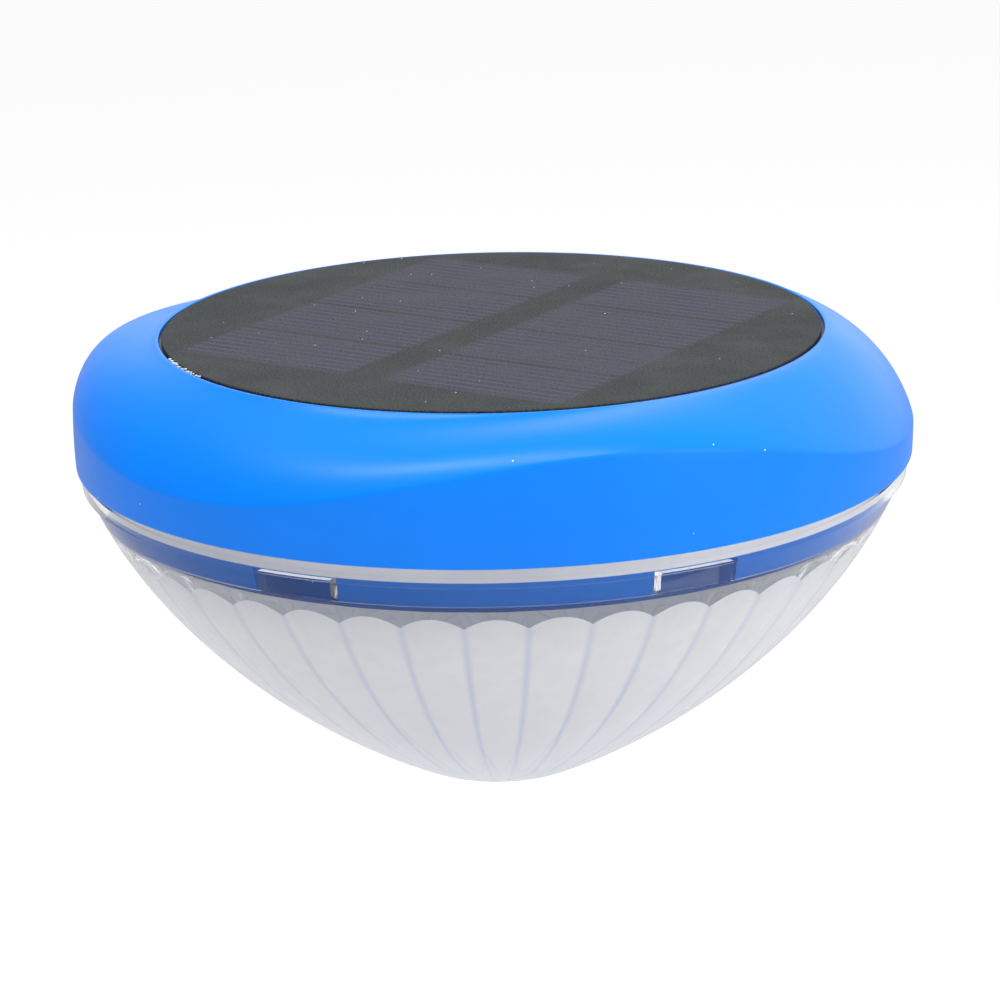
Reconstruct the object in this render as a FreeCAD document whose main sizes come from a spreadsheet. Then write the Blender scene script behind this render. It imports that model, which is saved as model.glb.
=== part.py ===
"""Floating pool light: a blue wavy-rimmed float with a solar panel on top and a clear fluted lens below.

Millimetres, +Z up. The origin is on the axis at the water surface. -Y is the front.
Depths are measured down from the face of the solar panel, because the whole stack hangs from it.
"""
import FreeCAD, Part
import Sketcher

import math
import os

# name: (value in mm, degrees or a count, what it is)
DIMENSIONS = {
    "panel_height": (39.6, "panel face above the water surface"),
    "panel_radius": (64.0, "solar panel disc"),
    "panel_gap": (0.6, "gap between the panel disc and the wall of its recess"),
    "lip_width": (0.6, "flat edge of the float round the panel recess"),
    "encapsulant_depth": (1.6, "clear textured layer over the cells"),
    "cell_thickness": (0.3, "silicon wafer"),
    "cell_length": (38.5, "a quarter of a 156 mm wafer, less the cuts"),
    "cell_width": (22.0, "a seventh of a 156 mm wafer, less the cut"),
    "column_gap": (8.0, "between the two columns of cells"),
    "row_gap": (0.8, "between the cells of a column"),
    "ribbon_width": (2.0, "tinned ribbon between cells"),
    "ribbon_thickness": (0.15, "tinned ribbon between cells"),
    "board_thickness": (1.6, "every circuit board"),
    "bond_thickness": (0.2, "adhesive under the panel"),
    "deck_thickness": (2.0, "floor of the panel recess"),
    "lip_depth": (0.22, "the panel stands this much proud of the float"),
    "crease_depth": (13.16, "mean depth of the wavy crease"),
    "belly_radius": (81.8, "widest ring of the float"),
    "belly_depth": (17.9, "depth of the widest ring"),
    "rim_depth": (24.15, "lower edge of the float"),
    "spigot_radius": (75.7, "skirt that fills the neck of the lens"),
    "spigot_depth": (32.6, "lower edge of the skirt"),
    "spigot_wall": (2.7, "thickness of the skirt"),
    "tub_radius": (62.0, "electronics tub under the deck"),
    "tub_wall": (2.0, "thickness of the tub wall"),
    "tub_depth": (38.2, "lower edge of the tub"),
    "seal_outer": (76.12, "white gasket, where it meets the neck of the lens"),
    "seal_inner": (74.0, "white gasket, and the groove round the skirt that holds it"),
    "seal_top": (24.5, "upper face of the gasket"),
    "seal_foot": (27.9, "lower face of the gasket"),
    "flange_radius": (80.6, "flange of the lens"),
    "flange_depth": (24.4, "top face of the lens flange"),
    "flange_thickness": (3.6, "flange of the lens"),
    "neck_radius": (76.2, "smooth bore of the lens neck"),
    "flute_count": (40, "flutes inside the bowl"),
    "key_radius": (73.2, "inner face of the four lens keys"),
    "key_width": (11.0, "degrees, width of a lens key"),
    "key_angle": (28.0, "degrees, keys either side of front and back"),
    "key_top": (28.5, "upper face of a lens key"),
    "key_foot": (32.4, "lower face of a lens key"),
    "key_clearance": (1.0, "degrees, each side of a key in its notch"),
    "tray_radius": (59.7, "white tray that closes the tub"),
    "tray_depth": (31.0, "top face of the tray"),
    "tray_thickness": (2.0, "white tray"),
    "screw_circle": (56.8, "tray screws"),
    "screw_radius": (1.25, "shank of a tray screw"),
    "screw_play": (0.05, "radial clearance round a screw shank"),
    "head_radius": (2.4, "head of a tray screw"),
    "head_height": (1.5, "head of a tray screw"),
    "light_ring_outer": (52.5, "aluminium board of the lamps"),
    "light_ring_inner": (40.0, "aluminium board of the lamps"),
    "light_circle": (46.5, "centres of the lamps"),
    "light_size": (5.0, "side of a lamp package"),
    "light_height": (1.6, "height of a lamp package"),
    "battery_radius": (7.1, "AA cell"),
    "battery_length": (49.0, "AA cell without its nub"),
    "battery_pitch": (14.6, "between battery centres"),
    "battery_depth": (22.4, "battery centres"),
    "holder_length": (57.0, "battery holder, front to back"),
    "holder_width": (48.0, "battery holder, side to side"),
    "holder_wall": (1.5, "battery holder"),
    "holder_depth": (13.2, "top of the battery holder"),
    "door_thickness": (1.8, "battery door"),
    "door_width": (50.0, "battery door, side to side"),
    "door_length": (60.0, "battery door, front to back"),
    "door_tab": (5.0, "screw tab beyond each end of the door"),
    "switch_x": (31.5, "push switch, beside the battery door"),
    "button_radius": (3.2, "push button"),
    "button_play": (0.08, "radial clearance of the button in the tray"),
    "button_stand": (4.6, "button below the tray at rest"),
    "wire_radius": (0.6, "insulated wire"),
}


class Size:
    """A number that also knows its spreadsheet expression."""

    def __init__(self, text, value):
        self.text = text
        self.value = value

    def __add__(self, other):
        other = as_size(other)
        return Size(f"({self.text} + {other.text})", self.value + other.value)

    def __sub__(self, other):
        other = as_size(other)
        return Size(f"({self.text} - {other.text})", self.value - other.value)

    def __rsub__(self, other):
        return as_size(other) - self

    def __mul__(self, factor):
        return Size(f"({self.text} * {factor:.8f})", self.value * factor)

    def __truediv__(self, divisor):
        return self * (1.0 / divisor)

    def __neg__(self):
        return self * -1.0

    __radd__ = __add__
    __rmul__ = __mul__


def as_size(number):
    if isinstance(number, Size):
        return number
    return Size(f"({number:.8f})", float(number))


class Sizes:
    """The spreadsheet's cells, each as an attribute."""

    def __init__(self, sheet):
        for row, (name, (value, note)) in enumerate(DIMENSIONS.items(), 1):
            sheet.set(f"A{row}", name.replace("_", " "))
            sheet.set(f"B{row}", str(value))
            sheet.setAlias(f"B{row}", name)
            sheet.set(f"C{row}", note)
            setattr(self, name, Size(f"Sizes.{name}", float(value)))


doc = FreeCAD.newDocument("floating_pool_light")
sheet = doc.addObject("Spreadsheet::Sheet", "Sizes")
s = Sizes(sheet)
doc.recompute()

NODES = []


def depth(size):
    """Height of a level that lies this far below the panel face."""
    return s.panel_height - size


def bind(thing, **sizes):
    for path, size in sizes.items():
        thing.setExpression(path.replace("__", "."), as_size(size).text)


def place(thing, at, turn=0.0, tilt=None):
    """Puts a thing at three sizes, turned about Z by degrees, after an optional tilt (axis, degrees)."""
    rotation = FreeCAD.Rotation(FreeCAD.Vector(0, 0, 1), turn)
    if tilt:
        rotation = rotation.multiply(FreeCAD.Rotation(FreeCAD.Vector(*tilt[0]), tilt[1]))
    thing.Placement = FreeCAD.Placement(FreeCAD.Vector(0, 0, 0), rotation)
    bind(thing, Placement__Base__x=at[0], Placement__Base__y=at[1], Placement__Base__z=at[2])
    return thing


def node(name, thing):
    """Names a finished sub-part. The label is also its file's name."""
    thing.Label = name
    NODES.append(thing)
    return thing


def cylinder(name, radius, height, at=(0, 0, 0), angle=360.0, turn=0.0, tilt=None):
    thing = doc.addObject("Part::Cylinder", name)
    bind(thing, Radius=radius, Height=height, Angle=angle)
    return place(thing, at, turn, tilt)


def block(name, sides, centre, turn=0.0):
    """A box centred on X and Y, standing on the height it is given, turned about its own middle."""
    thing = doc.addObject("Part::Box", name)
    bind(thing, Length=sides[0], Width=sides[1], Height=sides[2])
    half_x, half_y = as_size(sides[0]) / 2, as_size(sides[1]) / 2
    c, d = math.cos(math.radians(turn)), math.sin(math.radians(turn))
    x = as_size(centre[0]) - half_x * c + half_y * d
    y = as_size(centre[1]) - half_x * d - half_y * c
    return place(thing, (x, y, centre[2]), turn)


def cut(name, base, *tools):
    thing = doc.addObject("Part::Cut", name)
    thing.Base = base
    thing.Tool = tools[0] if len(tools) == 1 else fuse(name + "_tools", *tools)
    return thing


def fuse(name, *things):
    thing = doc.addObject("Part::MultiFuse", name)
    thing.Shapes = list(things)
    return thing


def group(name, things):
    """Identical pieces that stay separate solids."""
    thing = doc.addObject("Part::Compound", name)
    thing.Links = list(things)
    return thing


def tube(name, outer, inner, height, at):
    spare = 1.0
    bore_at = (at[0], at[1], as_size(at[2]) - spare)
    bore = cylinder(name + "_bore", inner, as_size(height) + 2 * spare, bore_at)
    return cut(name, cylinder(name + "_blank", outer, height, at), bore)


def polar(radius, degrees):
    """X and Y at a radius and an angle counted from the front towards +X."""
    angle = math.radians(degrees)
    return as_size(radius) * math.sin(angle), as_size(radius) * -math.cos(angle)


def turned(name, outline):
    """A PartDesign revolution about Z. The outline is (radius, depth below the panel face) pairs."""
    lowest = max((as_size(down) for _, down in outline), key=lambda size: size.value)
    body = doc.addObject("PartDesign::Body", name)
    plane = next(item for item in body.Origin.OriginFeatures if item.Role == "XZ_Plane")
    sketch = body.newObject("Sketcher::SketchObject", name + "_outline")
    sketch.AttachmentSupport = [(plane, "")]
    sketch.MapMode = "FlatFace"
    corners = [(as_size(radius), lowest - down) for radius, down in outline]
    vectors = [FreeCAD.Vector(x.value, y.value, 0) for x, y in corners]
    for start, end in zip(vectors, vectors[1:] + vectors[:1]):
        sketch.addGeometry(Part.LineSegment(start, end), False)
    count = len(corners)
    for index, (x, y) in enumerate(corners):
        sketch.addConstraint(Sketcher.Constraint("Coincident", index - 1 if index else count - 1, 2, index, 1))
        for kind, size, axis in (("DistanceX", x, -2), ("DistanceY", y, -1)):
            if size.value < 1e-9:
                sketch.addConstraint(Sketcher.Constraint("PointOnObject", index, 1, axis))
                continue
            number = sketch.addConstraint(Sketcher.Constraint(kind, -1, 1, index, 1, size.value))
            sketch.setExpression(f"Constraints[{number}]", size.text)
    turn = body.newObject("PartDesign::Revolution", name + "_turn")
    turn.Profile = sketch
    turn.ReferenceAxis = (sketch, ["V_Axis"])
    turn.Angle = 360.0
    return place(body, (0, 0, depth(lowest)))


# ---- Float: the blue upper shell -------------------------------------------------------------------

AROUND = 36         # control columns round the float
WALL_CURL = 0.0045  # how fast the wall curves in above and below its widest ring, per mm
# The crease is a sum of waves: (crests round the rim, height in mm, degrees from the front to a crest).
CREASE_WAVES = [(1, 2.47, -21.4), (2, 2.31, 23.5), (3, 3.74, 14.6), (4, 0.67, 20.2)]
LEFT = -90.0        # degrees, the side where the shoulder is fullest
BACK = 165.0        # degrees, the side where it falls away most


def wave(degrees, count, height, crest):
    return height * math.cos(math.radians(count * (degrees - crest)))


def swell(degrees, height, middle):
    """A single smooth swelling round one side."""
    return height * (0.5 + 0.5 * math.cos(math.radians(degrees - middle))) ** 4


def crease_depth(degrees):
    return s.crease_depth.value - sum(wave(degrees, *shape) for shape in CREASE_WAVES)


def wall_radius(down):
    """The wall below the crease bellies out to its widest ring, as a shallow parabola."""
    return s.belly_radius.value - WALL_CURL * (down - s.belly_depth.value) ** 2


def shoulder_row(degrees):
    """Four control points from the lip out to the crease, as (radius, depth)."""
    edge = crease_depth(degrees)
    lip = s.panel_radius.value + s.panel_gap.value + s.lip_width.value
    near = (
        68.07 - wave(degrees, 3, 0.5, 8.1),
        1.68 + wave(degrees, 3, 1.54, -13.7) + wave(degrees, 1, 1.69, LEFT) + swell(degrees, 1.2, BACK),
    )
    far = (
        79.42 + wave(degrees, 3, 0.51, -4.1) + wave(degrees, 1, 0.4, LEFT) - swell(degrees, 3.4, 3.0),
        3.55 + 0.45 * (edge - 12.0) - wave(degrees, 3, 1.57, 14.0) - wave(degrees, 1, 1.2, LEFT),
    )
    return [(lip, s.lip_depth.value), near, far, (wall_radius(edge), edge)]


def wall_row(degrees):
    """Three control points of the parabola from the crease down to the rim."""
    top, bottom = crease_depth(degrees), s.rim_depth.value
    slope = -2 * WALL_CURL * (top - s.belly_depth.value)
    middle = (wall_radius(top) + slope * (bottom - top) / 2, (top + bottom) / 2)
    return [(wall_radius(top), top), middle, (wall_radius(bottom), bottom)]


def skin(row, degree):
    """A face that is smooth all the way round, from one row of control points per column."""
    # A cubic spline through a ring of points runs a little inside them, so they are set out by this much.
    spread = 3.0 / (2.0 + math.cos(2.0 * math.pi / AROUND))
    poles = []
    for column in range(AROUND):
        degrees = 360.0 * column / AROUND
        points = [(polar(radius * spread, degrees), down) for radius, down in row(degrees)]
        poles.append([FreeCAD.Vector(x.value, y.value, depth(down).value) for (x, y), down in points])
    surface = Part.BSplineSurface()
    surface.buildFromPolesMultsKnots(
        poles, [1] * (AROUND + 1), [degree + 1] * 2, list(range(AROUND + 1)), [0, 1], True, False, 3, degree
    )
    return surface.toShape()


def flat_cap(face, down):
    """A disc that closes the end of a skin at this depth."""
    level = depth(down).value
    edges = [edge for edge in face.Edges if abs(edge.BoundBox.ZMin - level) + abs(edge.BoundBox.ZMax - level) < 1e-3]
    return Part.Face(Part.Wire(edges))


def solid_of(faces):
    shell = Part.makeShell(faces)
    shell.sewShape()
    solid = Part.makeSolid(shell)
    if solid.Volume < 0:
        solid.reverse()
    return solid


def feature(name, shape):
    thing = doc.addObject("Part::Feature", name)
    thing.Shape = shape
    return thing


shoulder, wall = skin(shoulder_row, 3), skin(wall_row, 2)
outer_skin = feature(
    "float_skin", solid_of([shoulder, wall, flat_cap(shoulder, s.lip_depth.value), flat_cap(wall, s.rim_depth.value)])
)

OVERLAP = 0.5     # how far one tool runs past the face that it opens
NOTCH_PLAY = 0.3  # above a lens key in its notch
SHELF = 3.3       # the wall thickens to the skirt over this height above the rim
HOLLOW = [(70.0, 6.0), (75.0, 11.2), (77.6, 15.0), (78.4, 18.5)]  # roof of the hollow in the float's wall
hollow_top = HOLLOW[0][1]

deck_depth = s.encapsulant_depth + s.board_thickness + s.bond_thickness
deck_underside = deck_depth + s.deck_thickness
recess_radius = s.panel_radius + s.panel_gap
spigot_bore = s.spigot_radius - s.spigot_wall
tub_bore = s.tub_radius - s.tub_wall
KEY_ANGLES = [s.key_angle.value, 180 - s.key_angle.value, 180 + s.key_angle.value, -s.key_angle.value]
TRAY_SCREW_ANGLES = [45, 135, 225, 315]
tray_underside = s.tray_depth + s.tray_thickness


def ring_space():
    """Hollow between the tub and the outer wall, open below, which also trims the skirt to its length."""
    return turned(
        "ring_space",
        [
            (s.tub_radius, hollow_top),
            *HOLLOW,
            (spigot_bore, s.rim_depth - SHELF),
            (spigot_bore, s.spigot_depth),
            (s.spigot_radius + OVERLAP, s.spigot_depth),
            (s.spigot_radius + OVERLAP, s.tub_depth + OVERLAP),
            (s.tub_radius, s.tub_depth + OVERLAP),
        ],
    )


def key_sector(name, outer, inner, width, top, bottom, degrees):
    """Part of a ring, centred on an angle counted from the front."""
    # A cylinder's sweep starts at +X, which lies 90 degrees round from the front.
    start = degrees - 90.0 - width.value / 2
    blank = cylinder(name + "_sector", outer, bottom - top, (0, 0, depth(bottom)), width, start)
    bore = cylinder(name + "_core", inner, bottom - top + 2 * OVERLAP, (0, 0, depth(bottom) - OVERLAP))
    return cut(name, blank, bore)


skirt = cylinder("skirt_blank", s.spigot_radius, s.tub_depth - s.rim_depth + 2, (0, 0, depth(s.tub_depth)))
tub_space = cylinder("tub_space", tub_bore, s.tub_depth - deck_underside + 1, (0, 0, depth(s.tub_depth + 1)))
recess = cylinder("recess", recess_radius, deck_depth + 1, (0, 0, depth(deck_depth)))
lead_hole = cylinder("lead_hole", 2.5, 12, (0, 0, depth(deck_underside + 5)))
seal_groove = tube(
    "seal_groove",
    s.spigot_radius + OVERLAP,
    s.seal_inner,
    s.seal_foot - s.seal_top,
    (0, 0, depth(s.seal_foot)),
)
notches = [
    key_sector(
        f"notch_{index}",
        s.spigot_radius + OVERLAP,
        spigot_bore - OVERLAP,
        s.key_width + 2 * s.key_clearance,
        s.key_top - NOTCH_PLAY,
        s.spigot_depth + OVERLAP,
        degrees,
    )
    for index, degrees in enumerate(KEY_ANGLES)
]
shell = cut(
    "hollow_float",
    fuse("float_blank", outer_skin, skirt),
    ring_space(),
    tub_space,
    recess,
    lead_hole,
    seal_groove,
    *notches,
)
bosses, pilots = [], []
for index, degrees in enumerate(TRAY_SCREW_ANGLES):
    x, y = polar(s.screw_circle, degrees)
    height = s.tray_depth - deck_underside + 1
    bosses.append(cylinder(f"boss_{index}", s.screw_radius + 2.2, height, (x, y, depth(s.tray_depth))))
    pilot_at = (x, y, depth(s.tray_depth + 1))
    pilots.append(cylinder(f"pilot_{index}", s.screw_radius + s.screw_play, 10.0, pilot_at))
node("top_housing", cut("top_housing", fuse("float_with_bosses", shell, *bosses), *pilots))

seal_height = s.seal_foot - s.seal_top
node("lens_seal", tube("lens_seal", s.seal_outer, s.seal_inner, seal_height, (0, 0, depth(s.seal_foot))))

# ---- Solar panel -----------------------------------------------------------------------------------

COLUMN_ANGLE = 57.8  # degrees, the columns' direction from +X


def on_panel(along, across):
    """X and Y of a place in the cell array, along and across its columns."""
    c, d = math.cos(math.radians(COLUMN_ANGLE)), math.sin(math.radians(COLUMN_ANGLE))
    along, across = as_size(along), as_size(across)
    return along * c - across * d, along * d + across * c


board_depth = s.encapsulant_depth + s.board_thickness
cell_base = s.encapsulant_depth
cell_top = cell_base - s.cell_thickness
column_pitch = s.cell_length + s.column_gap
row_pitch = s.cell_width + s.row_gap
ROWS = (-1.5, -0.5, 0.5, 1.5)
COLUMNS = (-0.5, 0.5)

panel_disc = cylinder("panel_board_disc", s.panel_radius - 0.3, s.board_thickness, (0, 0, depth(board_depth)))
node("panel_board", panel_disc)

cells, ribbons = [], []
for column in COLUMNS:
    for row in ROWS:
        x, y = on_panel(row * row_pitch, column * column_pitch)
        cell = block(
            f"solar_cell_{len(cells) + 1}",
            (s.cell_width, s.cell_length, s.cell_thickness),
            (x, y, depth(cell_base)),
            COLUMN_ANGLE,
        )
        cells.append(node(f"solar_cell_{len(cells) + 1}", cell))
    for seam in (-1, 0, 1):
        x, y = on_panel(seam * row_pitch, column * column_pitch)
        sides = (s.row_gap + 6, s.ribbon_width, s.ribbon_thickness)
        ribbons.append(block(f"ribbon_{len(ribbons)}", sides, (x, y, depth(cell_top)), COLUMN_ANGLE))
x, y = on_panel(ROWS[-1] * row_pitch, 0)
bridge_sides = (s.ribbon_width, s.column_gap + 6, s.ribbon_thickness)
ribbons.append(block("ribbon_bridge", bridge_sides, (x, y, depth(cell_top)), COLUMN_ANGLE))
node("cell_ribbons", group("cell_ribbons", ribbons))

layer = cylinder("encapsulant_disc", s.panel_radius, s.encapsulant_depth, (0, 0, depth(s.encapsulant_depth)))
node("panel_encapsulant", cut("panel_encapsulant", layer, *cells, *ribbons))
node(
    "panel_adhesive",
    tube("panel_adhesive", s.panel_radius - 4, 3.0, s.bond_thickness, (0, 0, depth(deck_depth))),
)
sealant_top = s.encapsulant_depth - 0.6
node(
    "panel_sealant",
    tube("panel_sealant", recess_radius, s.panel_radius, deck_depth - sealant_top, (0, 0, depth(deck_depth))),
)

# ---- Lens: the clear fluted bowl -------------------------------------------------------------------

HALF_FLUTE = math.pi / s.flute_count.value
NOSE = (8.0, 87.5)        # inner floor at the tip, where the flutes run out
GROOVE_NOSE = (8.0, 87.9)
NECK_FOOT = (76.1, 33.0)  # the smooth bore narrows below this
RIDGE = [(73.1, 37.4), (68.0, 48.0), (40.0, 81.5), NOSE]           # between two flutes
GROOVE = [(74.7, 35.2), (69.8, 47.0), (40.0, 83.0), GROOVE_NOSE]   # along the middle of a flute
BOWL = [(79.7, 28.0), (74.4, 41.8), (58.3, 67.5), (18.6, 87.7)]    # outside of the bowl
TIP = [(18.6, 87.7), (13.3, 90.4), (0.0, 90.4)]                    # outside of its rounded tip


def point(radius, down, angle=0.0):
    return FreeCAD.Vector(radius * math.sin(angle), -radius * math.cos(angle), depth(down).value)


def arc_row(side, middle=None):
    """Three weighted control points across one flute, through its two sides and its middle."""
    weight = math.cos(HALF_FLUTE)
    left, right = point(*side, -HALF_FLUTE), point(*side, HALF_FLUTE)
    centre = point(*(middle or side))
    control = (centre * (2 + 2 * weight) - left - right) / (2 * weight)
    return [left, control, right]


def patch(rows):
    """One flute's share of the inside, from rows of control points, top to bottom."""
    surface = Part.BSplineSurface()
    down = len(rows) - 1
    poles = [[row[column] for row in rows] for column in range(3)]
    weights = [[weight] * len(rows) for weight in (1.0, math.cos(HALF_FLUTE), 1.0)]
    surface.buildFromPolesMultsKnots(poles, [3, 3], [down + 1] * 2, [0, 1], [0, 1], False, False, 2, down, weights)
    return surface.toShape()


def inside_faces():
    top = arc_row((s.neck_radius.value, s.flange_depth.value))
    foot = arc_row(NECK_FOOT)
    arch = arc_row(RIDGE[0], GROOVE[0])
    flute = [arch] + [arc_row(side, middle) for side, middle in zip(RIDGE[1:-1], GROOVE[1:-1])] + [arc_row(NOSE)]
    sector = [patch(rows) for rows in ([top, foot], [foot, arch], flute)]
    faces = []
    for index in range(int(s.flute_count.value)):
        for face in sector:
            turned_face = face.copy()
            turned_face.rotate(FreeCAD.Vector(0, 0, 0), FreeCAD.Vector(0, 0, 1), index * 360.0 / s.flute_count.value)
            faces.append(turned_face)
    return faces


def level_wire(faces, down):
    level = depth(down).value
    edges = [
        edge
        for face in faces
        for edge in face.Edges
        if abs(edge.BoundBox.ZMin - level) < 1e-4 and abs(edge.BoundBox.ZMax - level) < 1e-4
    ]
    return Part.Wire(Part.__sortEdges__(edges))


def bezier_edge(points):
    curve = Part.BezierCurve()
    curve.setPoles([point(radius, down) for radius, down in points])
    return curve.toShape()


def lens_shell():
    inside = inside_faces()
    flange_top, flange_foot = s.flange_depth.value, s.flange_depth.value + s.flange_thickness.value
    rim_top, rim_foot = point(s.flange_radius.value, flange_top), point(s.flange_radius.value, flange_foot)
    outline = [
        Part.makeLine(rim_top, rim_foot),
        Part.makeLine(rim_foot, point(*BOWL[0])),
        bezier_edge(BOWL),
        bezier_edge(TIP),
    ]
    outside = Part.Wire(outline).revolve(FreeCAD.Vector(0, 0, 0), FreeCAD.Vector(0, 0, 1), 360.0)
    rim = Part.makeCircle(s.flange_radius.value, FreeCAD.Vector(0, 0, depth(flange_top).value))
    top = Part.makeFace([Part.Wire(rim), level_wire(inside, flange_top)], "Part::FaceMakerBullseye")
    nose = Part.Face(level_wire(inside, NOSE[1]))
    return solid_of(outside.Faces + inside + [top, nose])


keys = [
    key_sector(
        f"key_{index}", s.neck_radius + OVERLAP, s.key_radius, s.key_width, s.key_top, s.key_foot, degrees
    )
    for index, degrees in enumerate(KEY_ANGLES)
]
node("lens_dome", fuse("lens_dome", feature("lens_bowl", lens_shell()), *keys))

# ---- Lamp tray, hung in the tub on four screws -----------------------------------------------------

LIGHT_ANGLES = [0, 60, 120, 180, 240, 300]
REFLECTOR_SCREW_ANGLES = [30, 150, 270]
LEAD_ANGLES = [83, 87, 93, 97]


def hole(name, radius, top, bottom, at):
    """A drill that runs a little past both faces."""
    height = as_size(bottom) - top + 2 * OVERLAP
    return cylinder(name, radius, height, (at[0], at[1], depth(as_size(bottom) + OVERLAP)))


def screw(name, at, under_head, shank, length, head, head_height, slot=0.8):
    """A pan-head screw driven upwards, with a cross recess in its head."""
    x, y = at
    parts = [
        cylinder(name + "_shank", shank, length, (x, y, depth(under_head))),
        cylinder(name + "_head", head, head_height, (x, y, depth(as_size(under_head) + head_height))),
    ]
    recess_at = (x, y, depth(as_size(under_head) + head_height + OVERLAP))
    wings = [
        block(f"{name}_wing_{turn}", (as_size(head) * 1.2, slot, OVERLAP + 0.7), recess_at, turn)
        for turn in (45, 135)
    ]
    return cut(name, fuse(name + "_blank", *parts), *wings)


tray_holes = [
    hole(f"tray_hole_{index}", s.screw_radius + 0.25, s.tray_depth, tray_underside, polar(s.screw_circle, degrees))
    for index, degrees in enumerate(TRAY_SCREW_ANGLES)
]
light_leads_at = [polar(43.5, degrees) for degrees in LEAD_ANGLES]
lead_slot = block("lead_slot", (4.0, 14.0, s.tray_thickness + 2 * OVERLAP), (43.5, 0, depth(tray_underside + OVERLAP)))
battery_opening = block(
    "battery_opening",
    (3 * s.battery_pitch + 0.6, s.battery_length + 4.4, s.tray_thickness + 2 * OVERLAP),
    (0, 0, depth(tray_underside + OVERLAP)),
)
button_bore = hole("button_bore", s.button_radius + s.button_play, s.tray_depth, tray_underside, (s.switch_x, 0))
door_screw_y = s.door_length / 2 + s.door_tab - 2.6
DOOR_SCREWS = [(0, door_screw_y), (0, -door_screw_y)]
door_pilots = [
    hole(f"door_pilot_{index}", 1.3, s.tray_depth - 5, tray_underside, at) for index, at in enumerate(DOOR_SCREWS)
]
door_bosses = [
    cylinder(f"door_boss_{index}", 3.0, 5.0, (at[0], at[1], depth(s.tray_depth)))
    for index, at in enumerate(DOOR_SCREWS)
]
reflector_pilots = [
    hole(f"reflector_pilot_{index}", 0.95, s.tray_depth, tray_underside, polar(s.light_circle, degrees))
    for index, degrees in enumerate(REFLECTOR_SCREW_ANGLES)
]
tray_disc = cylinder("tray_disc", s.tray_radius, s.tray_thickness, (0, 0, depth(tray_underside)))
node(
    "lamp_tray",
    cut(
        "lamp_tray",
        fuse("tray_blank", tray_disc, *door_bosses),
        battery_opening,
        button_bore,
        lead_slot,
        *tray_holes,
        *door_pilots,
        *reflector_pilots,
    ),
)
tray_screws = [
    screw(
        f"tray_screw_{index}",
        polar(s.screw_circle, degrees),
        tray_underside,
        s.screw_radius,
        9.0,
        s.head_radius,
        s.head_height,
    )
    for index, degrees in enumerate(TRAY_SCREW_ANGLES)
]
node("tray_screws", group("tray_screws", tray_screws))

# ---- Lamps and reflector under the tray ------------------------------------------------------------

light_board_depth = tray_underside + s.board_thickness
light_board_blank = tube(
    "light_board_blank", s.light_ring_outer, s.light_ring_inner, s.board_thickness, (0, 0, depth(light_board_depth))
)
board_holes = [
    hole(f"board_hole_{index}", 1.0, tray_underside, light_board_depth, polar(s.light_circle, degrees))
    for index, degrees in enumerate(REFLECTOR_SCREW_ANGLES)
]
node("light_board", cut("light_board", light_board_blank, *board_holes))
for index, degrees in enumerate(LIGHT_ANGLES, 1):
    x, y = polar(s.light_circle, degrees)
    sides = (s.light_size, s.light_size, s.light_height)
    lamp = block(f"lamp_{index}", sides, (x, y, depth(light_board_depth + s.light_height)), degrees)
    node(f"lamp_{index}", lamp)

reflector_blank = turned(
    "reflector_blank",
    [
        (s.light_ring_inner, light_board_depth),
        (s.light_ring_outer, light_board_depth),
        (s.light_ring_outer + 2.5, light_board_depth + 0.6),
        (s.tray_radius - 0.2, s.tub_depth - 0.8),
        (s.tray_radius - 1.3, s.tub_depth - 0.8),
        (s.light_ring_outer + 1.8, light_board_depth + 1.5),
        (s.light_ring_outer, light_board_depth + 1.0),
        (s.light_ring_inner, light_board_depth + 1.0),
    ],
)
lamp_windows = [
    hole(f"lamp_window_{index}", 3.9, light_board_depth, light_board_depth + 1.0, polar(s.light_circle, degrees))
    for index, degrees in enumerate(LIGHT_ANGLES)
]
reflector_holes = [
    hole(f"reflector_hole_{index}", 1.0, light_board_depth, light_board_depth + 1.0, polar(s.light_circle, degrees))
    for index, degrees in enumerate(REFLECTOR_SCREW_ANGLES)
]
node("reflector_ring", cut("reflector_ring", reflector_blank, *lamp_windows, *reflector_holes))
reflector_screws = [
    screw(
        f"reflector_screw_{index}",
        polar(s.light_circle, degrees),
        light_board_depth + 1.0,
        0.9,
        light_board_depth + 1.0 - s.tray_depth,
        1.8,
        1.1,
        0.6,
    )
    for index, degrees in enumerate(REFLECTOR_SCREW_ANGLES)
]
node("reflector_screws", group("reflector_screws", reflector_screws))

# ---- Batteries, their holder and its door ----------------------------------------------------------

contact_thickness = 0.4
nub_length = 1.2
inner_half = s.holder_length / 2 - s.holder_wall
barrel_half = s.battery_length / 2
barrel_shift = inner_half - contact_thickness - nub_length - barrel_half  # towards the pad, so the nub meets it
holder_height = s.tray_depth - s.holder_depth
holder_blank = block("holder_blank", (s.holder_width, s.holder_length, holder_height), (0, 0, depth(s.tray_depth)))
holder_space = block(
    "holder_space",
    (s.holder_width - 2 * s.holder_wall, s.holder_length - 2 * s.holder_wall, holder_height - s.holder_wall + 1),
    (0, 0, depth(s.tray_depth + 1)),
)
node("battery_holder", cut("battery_holder", holder_blank, holder_space))

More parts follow.
